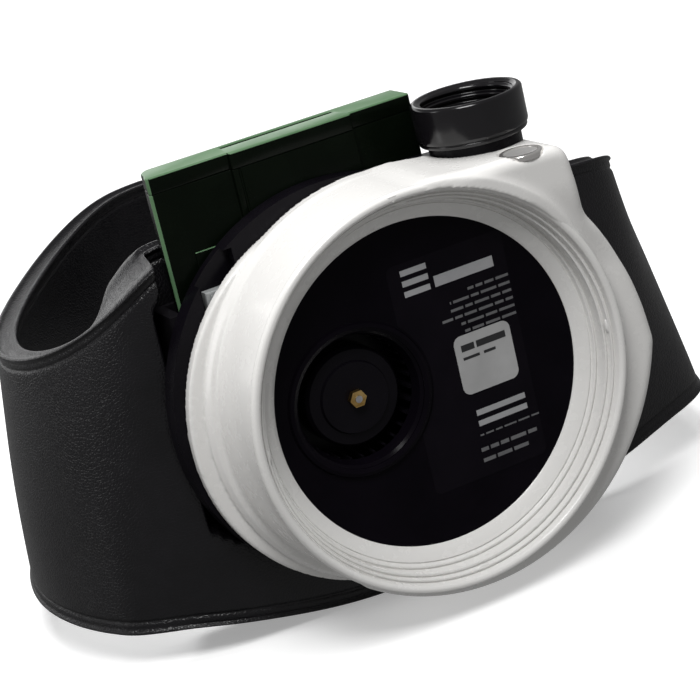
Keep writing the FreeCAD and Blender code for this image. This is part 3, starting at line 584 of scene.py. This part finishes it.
def cutter(name, x, y, z):
    points, faces = box_points(x, y, z)
    mesh = bpy.data.meshes.new(name)
    mesh.from_pydata(placed(points).tolist(), [], [list(f) for f in faces])
    piece = bpy.data.objects.new(name, mesh)
    bpy.context.scene.collection.objects.link(piece)
    return piece


TAPER, EDGE = 6.6, 0.9                                 # the left side draws in at its back; its front edge is cut


def battery():
    low, high = local("battery_case")
    lid_low, lid_high = local("battery_lid")
    (x0, proud_y, z0), (x1, back_y, z1) = low, high
    front_y = proud_y + 2.5
    left, right = -45.0, 10.0
    groove = [(left + 2.6, proud_y), (left + 2.6, proud_y + 0.7), (left + 3.6, proud_y + 0.7), (left + 3.6, proud_y)]
    plan = [(x0, front_y + EDGE), (x0 + EDGE, front_y), (left, front_y), (left, proud_y), *groove, (right, proud_y), (right, front_y)]
    room, deep = local("battery_cells")[0][0] - x0 - 0.4, back_y - front_y
    side = [(x0 + TAPER, back_y), (x0 + 0.72 * TAPER, front_y + 0.92 * deep), (x0 + room + 0.6, front_y + 0.76 * deep)]
    side += [(x0 + room, front_y + 0.5 * deep), (x0 + 0.35 * room, front_y + 0.25 * deep)]
    plan += [(x1, front_y), (x1, back_y), *side]
    # painted highlight: the faces along the cut left front edge take the lighter green
    edge = lambda at, normal: at[0] < x0 + 1.2 and at[1] < front_y + 1.2
    case = green_block("battery_shell", plan, z0, z1, 0.8, edge)
    # painted highlight: the key's upward faces near its top take the lighter green
    key = green_block("battery_key", [(-68, front_y - 0.8), (-54, front_y - 0.8), (-54, front_y + 1), (-68, front_y + 1)],
                      56.0, 71.5, 0.5, lambda at, normal: normal[2] > 0.3 and at[2] > 60)
    lid_plan = [(x0, front_y + EDGE), (x0 + EDGE, front_y), (left, front_y), (left, proud_y), (right, proud_y), (right, front_y)]
    lid_plan += [(x1, front_y), (x1, back_y), *side]
    slit = cutter("slit", (left + 2, right - 2), (back_y - 6.2, back_y - 2.4), (lid_high[2] - 4.5, lid_high[2] + 1))
    # painted reflection: the lid's upward faces take the lighter green, as if lit from above; the cut edge keeps its
    # painted highlight
    top = lambda at, normal: (normal[2] > 0.25 and at[2] > lid_high[2] - 2) or edge(at, normal)
    lid = green_block("battery_top", lid_plan, z1, lid_high[2], 1.5, top, [slit])
    bpy.data.objects.remove(slit)
    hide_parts("battery_case")
    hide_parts("battery_lid")
    key.name = "battery_key"


# ---------------------------------------------------------------- belt

# The belt's outer face: x, y, lower edge, upper edge, from one end round to the other.
BELT = (
    (-5, 289.3, -70, 55), (-35, 284, -71, 54), (-69, 264, -73, 47), (-101, 228, -74, 40),
    (-128, 183, -75, 35), (-138.5, 140, -77, 34), (-130, 98, -79, 40), (-109, 68, -80.5, 55),
    (-94, 59, -83, 66), (-78, 56.6, -86.5, 73), (-40, 56.3, -94, 66), (17, 56.3, -95, 60),
    (70, 56.3, -87, 56), (108, 57, -78, 53.5), (132, 66, -73, 49), (149.5, 92, -70.5, 37),
    (158, 135, -70, 28), (152, 183, -70, 25), (130, 228, -70, 31), (102, 264, -70, 43),
    (66, 285, -70, 53),
)
PAD_T = 10.0
FLARE_LEFT, FLARE_RIGHT = math.tan(math.radians(6.8)), math.tan(math.radians(12.2))
RECESS, SHELF_Z = 21.5, -47.0                          # the step behind the dock, and the foam below it
OUTER_STEP, INNER_STEP = ((-91.6, -86.6), (44.0, 52.5)), ((-110.0, -94.0), (50.0, 66.0))
RIDGE_SHIFT, RIDGE_Z = 4.9, (51.0, 60.0)               # above the dock the ridge leans in on the battery
GROOVE_AT, GROOVE_DEEP = 4.8, 0.75                     # sewn line below each beaded edge
BEAD = ((0.03, 1.0), (-0.035, 0.55), (-0.03, 0.0), (0.03, -0.55), (0.11, -0.6), (0.18, -0.15), (0.24, 0.35),
        (0.34, 0.6), (0.5, 0.7))
FACE = (1.6, 2.4, 3.2, 3.8, 4.3, 4.8, 5.3, 5.9, 6.6, 8, 10, 13, 17)
BELT_ROWS, FACE_ROWS = 760, 44


def through(knots, values, at):
    """A natural cubic spline through the values, and its slope."""
    n, h = len(knots), np.diff(knots)
    system, right = np.eye(n), np.zeros((n, values.shape[1]))
    for i in range(1, n - 1):
        system[i, i - 1:i + 2] = h[i - 1], 2 * (h[i - 1] + h[i]), h[i]
        right[i] = 6 * ((values[i + 1] - values[i]) / h[i] - (values[i] - values[i - 1]) / h[i - 1])
    bend = np.linalg.solve(system, right)
    k = np.clip(np.searchsorted(knots, at, side="right") - 1, 0, n - 2)
    step, a, b = h[k][:, None], (knots[k + 1] - at)[:, None], (at - knots[k])[:, None]
    linear = values[k] / step - bend[k] * step / 6, values[k + 1] / step - bend[k + 1] * step / 6
    level = (bend[k] * a ** 3 + bend[k + 1] * b ** 3) / (6 * step) + linear[0] * a + linear[1] * b
    slope = (bend[k + 1] * b ** 2 - bend[k] * a ** 2) / (2 * step) - linear[0] + linear[1]
    return level, slope


def eased(value, low, high):
    t = np.clip((value - low) / (high - low), 0, 1)
    return t * t * (3 - 2 * t)


def belt_loop():
    """Once round the pad's section: depth (0 outer face, 1 inner), the edge it counts from, height.

    Heights from "high" and "low" are millimetres from that edge; "mid" is a share of what is between."""
    bead = BEAD + tuple((1 - depth, height) for depth, height in reversed(BEAD[:-1]))
    between = [k / FACE_ROWS for k in range(1, FACE_ROWS)]
    loop = [(0, "high", h) for h in reversed(FACE)] + [(d, "high", h) for d, h in bead]
    loop += [(1, "high", h) for h in FACE] + [(1, "mid", k) for k in reversed(between)]
    loop += [(1, "low", h) for h in reversed(FACE)] + [(d, "low", h) for d, h in reversed(bead)]
    return loop + [(0, "low", h) for h in FACE] + [(0, "mid", k) for k in between]


def belt_pad():
    rows = np.array(BELT, float)
    gaps = np.hypot(np.diff(rows[:, 0]), np.diff(rows[:, 1])) ** 0.75
    knots = np.concatenate([[0], np.cumsum(gaps)])
    level, slope = through(knots, rows, np.linspace(0, knots[-1], BELT_ROWS))
    out = np.stack([slope[:, 1], -slope[:, 0]], -1)
    out /= np.linalg.norm(out, axis=1)[:, None]
    length = np.concatenate([[0], np.cumsum(np.hypot(*np.diff(level[:, :2], axis=0).T))])
    weight = eased(level[:, 1], 56.0, 86.0) * np.where(level[:, 0] < 17, FLARE_LEFT, FLARE_RIGHT)
    ends = np.minimum(length, length[-1] - length)
    cap = np.sqrt(1 - (1 - np.clip(ends / 6.0, 0.0, 1)) ** 2) * 0.98 + 0.02
    waves = np.sin(length / 11.0) * np.sin(length / 37.0 + 1) * 0.35 + np.sin(length / 23.0) * 0.3
    front = level[:, 1] < 120
    low, high = level[:, 2] + 6 * (1 - cap), level[:, 3] - 6 * (1 - cap)
    loop, points = belt_loop(), []
    for depth, edge, height in loop:
        z = {"high": high - height, "low": low + height, "mid": low + 17 + (high - low - 34) * height}[edge]
        bulge = np.sin(math.pi * np.clip((z - low) / (high - low), 0, 1))
        swell = 1.5 * np.abs(bulge) ** 0.7 - 0.9 + waves * bulge * np.sin(z / 23.0 + length / 60.0)
        if edge != "mid":
            swell = swell - GROOVE_DEEP * math.exp(-((height - GROOVE_AT) / GROOVE_DEEP) ** 2)
        swell = {0: swell, 1: -0.6 * swell}.get(depth, 0 * swell)
        rails = []
        for thick, (left, right) in ((0.0, OUTER_STEP), (PAD_T, INNER_STEP)):
            rail = level[:, :2] - out * (z * weight + thick)[:, None]
            across = rail[:, 0] - (0 if thick else RIDGE_SHIFT) * eased(z, *RIDGE_Z)
            back = RECESS * eased(across, *left) * (1 - eased(rail[:, 0], *right)) * front
            shelf = SHELF_Z + 8.0 * (1 - eased(rail[:, 0], -90.0, -75.0))
            rail[:, 1] += back if thick else back * eased(z, shelf - 3.5, shelf)
            rails.append(rail)
        share = (0.5 + (depth - 0.5) * cap)[:, None]
        points.append(np.column_stack([rails[0] * (1 - share) + rails[1] * share + out * swell[:, None], z]))
    around = len(loop)
    points = np.array(points).transpose(1, 0, 2).reshape(-1, 3)
    faces = grid_faces(BELT_ROWS, around, False, True)
    faces += [tuple(range(around)), tuple(range(BELT_ROWS * around - 1, (BELT_ROWS - 1) * around - 1, -1))]
    pad = made("belt_cushion", points, faces, "belt", "belt_skin")
    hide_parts("belt_pad", "belt_bolster")


def strap(name, side):
    """A woven ribbon in the place of a plain strap: soft selvedges and a slight wave along it."""
    (x0, y0, z0), (x1, y1, z1) = local(name)
    along, around = np.linspace(x0, x1, 60), 28
    turn = np.linspace(0, 2 * math.pi, around, endpoint=False)
    flat = np.sign(np.cos(turn)) * np.abs(np.cos(turn)) ** 0.35
    thick = np.sign(np.sin(turn)) * np.abs(np.sin(turn)) ** 0.6
    rows = []
    for x in along:
        wave = 0.12 * math.sin((x - x0) / 9.0 * side)
        y = (y0 + y1) / 2 + wave + thick * ((y1 - y0) / 2 - 0.14)
        z = (z0 + z1) / 2 + flat * ((z1 - z0) / 2 - 0.1)
        rows.append(np.stack([np.full(around, x), y, z], -1))
    faces = grid_faces(60, around, False, True)
    faces += [tuple(range(around)), tuple(range(60 * around - 1, 59 * around - 1, -1))]
    ribbon = made(name + "_ribbon", np.concatenate(rows), faces, "webbing", "webbing", split=70)
    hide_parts(name)


# ---------------------------------------------------------------- labels

def bars(name, rows, front, material, slot, thick=0.04):
    """Small flat marks, one (x0, x1, z0, z1) each."""
    solids = [prism([(x0, z0), (x1, z0), (x1, z1), (x0, z1)], front - thick, front, axis=1) for x0, x1, z0, z1 in rows]
    return made(name, *merged(*solids), material, slot, smooth=False)


def text_like(right, z, width, height, seed):
    """A row of short bars, ragged like words, ending at the right."""
    rng, x, rows = np.random.default_rng(seed), right, []
    while x > right - width:
        word = rng.uniform(3.0, 7.5)
        rows.append((max(x - word, right - width), x, z - height / 2, z + height / 2))
        x -= word + 1.0
    return rows


def markings():
    film = local("notice_label")[0][1]
    rows = []
    for i, width in enumerate((19, 28, 29, 33, 25, 24)):
        rows += text_like(45.0, 31.6 - 3.3 * i, width, 1.1, i)
    rows += text_like(45.5, -29.4, 28, 0.7, 11) + text_like(43.0, -35.6, 26.5, 1.6, 12) + text_like(38.0, -40.2, 21.5, 1.6, 13)
    bars("notice_rows", rows, film, "print_dim", "silver_label")
    emblem = [(-1.5, 10.3, 45.6, 48.0), (-1.5, 10.3, 41.2, 43.6), (-1.5, 10.3, 36.8, 39.2)]
    emblem += [(12.4, 39.6, 36.8, 41.4), (18.0, 41.0, -21.0, -18.6), (18.0, 41.0, -25.6, -23.2)]
    bars("notice_emblem", emblem, film, "print", "silver_label")
    plate = local("serial_label")[0][1]
    bars("serial_marks", [(17.4, 23.4, 7.0, 9.8), (24.4, 38.0, 7.0, 9.8), (17.4, 25.0, 3.4, 4.6), (27.0, 32.5, 3.4, 4.6)],
         plate, "ink", "black_gloss")


front_shell()
hose_collar()
battery()
belt_pad()
strap("strap_left", 1)
strap("strap_right", -1)
markings()


# ---------------------------------------------------------------- stage, light and camera

AIM = CUP + Vector((-36.42, 0, 30.29)) * MM
AZIMUTH, ELEVATION, ROLL = math.radians(-22.08), math.radians(17.38), math.radians(13.45)
DISTANCE, LENS = 0.9, 120.3


def camera():
    back = Vector((math.sin(AZIMUTH) * math.cos(ELEVATION), -math.cos(AZIMUTH) * math.cos(ELEVATION), math.sin(ELEVATION)))
    level = Vector((math.cos(AZIMUTH), math.sin(AZIMUTH), 0))
    upward = back.cross(level) * -1 if back.cross(level).z < 0 else back.cross(level)
    right = level * math.cos(ROLL) - upward * math.sin(ROLL)
    top = level * math.sin(ROLL) + upward * math.cos(ROLL)
    data = bpy.data.cameras.new("camera")
    data.lens, data.sensor_width = LENS, 36.0
    data.clip_start, data.clip_end = 0.01, 20
    holder = bpy.data.objects.new("camera", data)
    bpy.context.scene.collection.objects.link(holder)
    spot = AIM + back * DISTANCE
    matrix = [[right[i], top[i], back[i], spot[i]] for i in range(3)] + [[0, 0, 0, 1]]
    holder.matrix_world = Matrix(matrix)
    bpy.context.scene.camera = holder


def area(name, spot, target, size, power, colour=(1, 1, 1)):
    data = bpy.data.lights.new(name, "AREA")
    data.shape, data.size, data.size_y = "RECTANGLE", size[0], size[1]
    data.energy, data.color = power, colour
    lamp = bpy.data.objects.new(name, data)
    lamp.location = spot
    lamp.rotation_euler = (Vector(target) - Vector(spot)).to_track_quat("-Z", "Y").to_euler()
    bpy.context.scene.collection.objects.link(lamp)
    return lamp


def stage():
    low = CAD_BOX[0][2]
    mesh = bpy.data.meshes.new("floor")
    size = 6.0
    mesh.from_pydata([(-size, -size, low), (size, -size, low), (size, size, low), (-size, size, low)], [], [(0, 1, 2, 3)])
    floor = bpy.data.objects.new("floor", mesh)
    bpy.context.scene.collection.objects.link(floor)
    floor.visible_diffuse = floor.visible_glossy = False
    material, tree, shader = tree_of("pale_floor")
    tree.links.new(ramp(tree, noise(tree, 8), (0.88, 0.88, 0.88), (0.92, 0.92, 0.92)), shader.inputs["Base Color"])
    shader.inputs["Roughness"].default_value = 0.9
    shader.inputs["Specular IOR Level"].default_value = 0.05
    shader.inputs["Emission Color"].default_value = (1, 1, 1, 1)
    away = node(tree, "ShaderNodeVectorMath", operation="LENGTH")
    tree.links.new(node(tree, "ShaderNodeTexCoord").outputs["Object"], away.inputs[0])
    glow = node(tree, "ShaderNodeMapRange")
    for key, value in (("From Min", 0.8), ("From Max", 2.4), ("To Min", 0.3), ("To Max", 1.0)):
        glow.inputs[key].default_value = value
    tree.links.new(away.outputs["Value"], glow.inputs["Value"])
    tree.links.new(glow.outputs["Result"], shader.inputs["Emission Strength"])
    mesh.materials.append(material)
    world = bpy.data.worlds.new("studio")
    world.use_nodes = True
    bpy.context.scene.world = world
    tree = world.node_tree
    seen, shed = tree.nodes["Background"], tree.nodes.new("ShaderNodeBackground")
    seen.inputs["Color"].default_value = shed.inputs["Color"].default_value = (1, 1, 1, 1)
    seen.inputs["Strength"].default_value, shed.inputs["Strength"].default_value = 1.0, 0.24
    path, mix = tree.nodes.new("ShaderNodeLightPath"), tree.nodes.new("ShaderNodeMixShader")
    tree.links.new(path.outputs["Is Camera Ray"], mix.inputs[0])
    tree.links.new(shed.outputs[0], mix.inputs[1])
    tree.links.new(seen.outputs[0], mix.inputs[2])
    tree.links.new(mix.outputs[0], tree.nodes["World Output"].inputs["Surface"])
    centre = Vector((0, -0.05, 0.03))
    area("key", (-0.4, -0.8, 1.25), centre, (0.6, 0.6), 16)
    area("top", (0.1, 0.2, 1.5), centre, (1.2, 1.0), 16).visible_glossy = False
    area("side", (-1.3, 0.1, 0.5), centre, (0.3, 0.8), 2)
    area("backdrop", (-0.3, 1.7, 0.5), centre, (2.6, 0.9), 9).visible_camera = False
    bpy.context.scene.view_settings.view_transform = "Standard"


camera()
stage()

for names, material in (
        (("inlet_plate",), "plate"), (("rear_housing", "outlet_neck", "impeller"), "black"),
        (("battery_dock", "belt_rivets", "buckle_plug", "buckle_socket", "buckle_prong_upper", "buckle_prong_lower",
          "fan_scroll", "alarm_buzzer", "button_switch"), "dock"),
        (("plate_seal", "outlet_seal"), "rubber"), (("control_board", "battery_board"), "board"),
        (("board_parts",), "epoxy"), (("notice_label",), "film"), (("serial_label",), "silver"),
        (("hub_nut", "battery_contacts", "dock_contacts"), "brass"),
        (("housing_screws", "motor_shaft", "motor_body", "motor_bearings", "motor_bracket", "button_spring", "latch_spring"), "steel"),
        (("button_bezel",), "chrome"), (("power_button",), "cap"), (("battery_latch",), "grey"),
        (("battery_cells",), "can")):
    dressed(material, *names)
